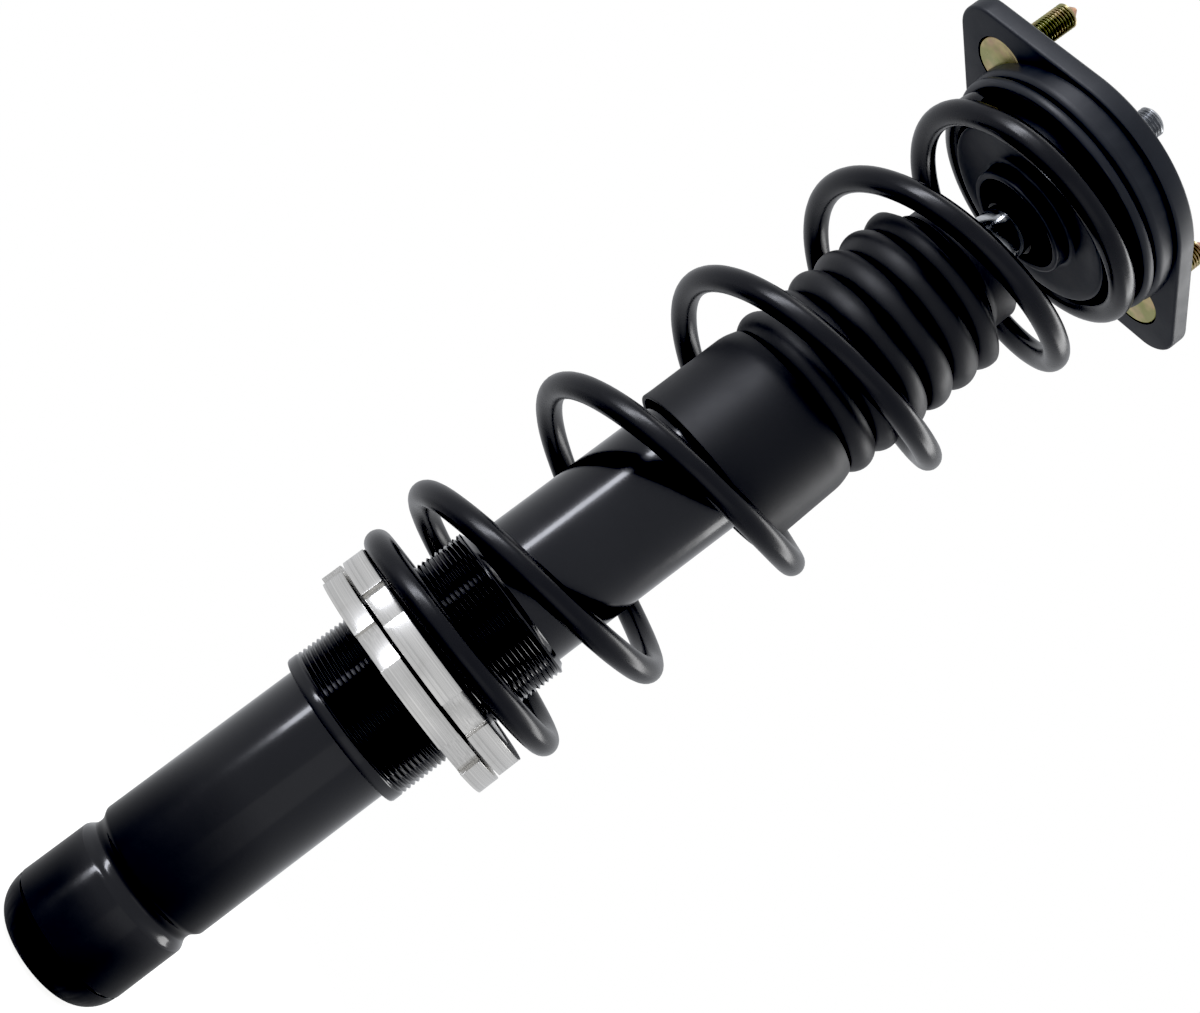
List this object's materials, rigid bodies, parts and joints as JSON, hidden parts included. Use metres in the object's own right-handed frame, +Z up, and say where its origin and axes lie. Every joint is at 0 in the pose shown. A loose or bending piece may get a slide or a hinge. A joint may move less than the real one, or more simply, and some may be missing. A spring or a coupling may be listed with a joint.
{
  "type": "strut assembly",
  "caption": "Coil-over suspension strut: two-stud top mount on a steering bearing, open coil spring, dust boot on a chromed rod, threaded sleeve with slotted rings, round clamp tube.",
  "frame": {"origin": "centre of the two-stud pattern on the mount plate's top face, on the strut's axis", "axes": "+Z up along the strut's axis towards the studs; +X towards one stud and its lobe, square to the axis of the plate's 5 degree lean within 2 degrees"},
  "size_m": [0.1441, 0.1049, 0.4702],
  "materials": {
    "plate_black": "satin black electrocoat on pressed steel",
    "seat_black": "satin black powder coat",
    "spring_black": "satin black powder coat on spring steel",
    "tube_black": "glossy black paint on steel tube",
    "zinc_yellow": "yellow-passivated zinc plate",
    "chrome": "ground hard chrome",
    "bearing_steel": "ground bearing steel",
    "plain_steel": "zinc-plated steel",
    "dark_steel": "black oxide steel",
    "ring_aluminium": "bare turned aluminium",
    "cast_aluminium": "as-cast and machined",
    "sintered_iron": "sintered and machined",
    "bronze": "sintered bronze",
    "band_plastic": "filled PTFE",
    "boot_rubber": "matte black moulded rubber",
    "shield_plastic": "fine-grained black moulding",
    "bump_foam": "cellular polyurethane"
  },
  "bodies": {
    "top_mount": {"mount_plate": "plate_black", "mount_studs": "zinc_yellow", "mount_hub": "plate_black", "bearing_race": "bearing_steel", "retaining_ring": "plain_steel", "thrust_race_upper": "bearing_steel"},
    "rod": {"pivot_ball": "bearing_steel", "top_washer": "plain_steel", "rod_nut": "plain_steel", "rod_spacer": "dark_steel", "stop_washer": "dark_steel", "piston_rod": "chrome", "piston": "sintered_iron", "piston_band": "band_plastic", "compression_shims": "plain_steel", "rebound_shims": "plain_steel", "piston_nut": "plain_steel", "rebound_stop": "bump_foam"},
    "seat": {"spring_seat": "seat_black", "thrust_race_lower": "bearing_steel", "spring_isolator": "boot_rubber", "coil_spring": "spring_black"},
    "bearing_cage": {"thrust_cage": "bronze", "thrust_balls": "bearing_steel"},
    "strut": {"strut_tube": "tube_black", "end_cap": "tube_black", "threaded_sleeve": "tube_black", "lower_isolator": "boot_rubber", "pressure_tube": "plain_steel", "base_valve": "sintered_iron", "base_valve_bolt": "plain_steel", "rod_guide": "cast_aluminium", "guide_bush": "bronze", "oil_seal": "boot_rubber", "gland_nut": "seat_black"},
    "upper_boot": {"boot_collar": "shield_plastic", "bump_stop": "bump_foam", "boot_bellows": "boot_rubber"},
    "shield": {"dust_shield": "shield_plastic"},
    "adjuster": {"adjuster_ring": "ring_aluminium"},
    "locker": {"lock_ring": "ring_aluminium"}
  },
  "joints": [
    {"name": "rod_turn", "type": "hinge", "parent": "top_mount", "child": "rod", "pos_m": [0, 0, 0], "axis": [0, 0, 1], "range_deg": [-42, 42]},
    {"name": "seat_turn", "type": "hinge", "parent": "top_mount", "child": "seat", "pos_m": [0, 0, -0.014], "axis": [0, 0, 1], "range_deg": [-42, 42]},
    {"name": "cage_turn", "type": "hinge", "parent": "top_mount", "child": "bearing_cage", "pos_m": [0, 0, -0.014], "axis": [0, 0, 1], "range_deg": [-21, 21]},
    {"name": "damper_slide", "type": "slide", "parent": "rod", "child": "strut", "axis": [0, 0, 1], "range_m": [0, 0.074], "stiffness_N_per_m": 19600, "springref_m": -0.01, "deforming": ["coil_spring"]},
    {"name": "boot_slide", "type": "slide", "parent": "rod", "child": "upper_boot", "axis": [0, 0, 1], "range_m": [-0.01, 0.017]},
    {"name": "boot_fold", "type": "slide", "parent": "upper_boot", "child": "shield", "axis": [0, 0, 1], "range_m": [0, 0.03], "stiffness_N_per_m": 300, "deforming": ["boot_bellows"]},
    {"name": "adjuster_turn", "type": "hinge", "parent": "strut", "child": "adjuster", "pos_m": [0, 0, -0.2847], "axis": [0, 0, 1], "range_deg": [-60, 60]},
    {"name": "lock_ring_turn", "type": "hinge", "parent": "strut", "child": "locker", "pos_m": [0, 0, -0.2935], "axis": [0, 0, 1], "range_deg": [-60, 60]}
  ],
  "couplings": [
    {"joint": "seat_turn", "follows": "rod_turn", "ratio": 1},
    {"joint": "cage_turn", "follows": "rod_turn", "ratio": 0.5}
  ]
}
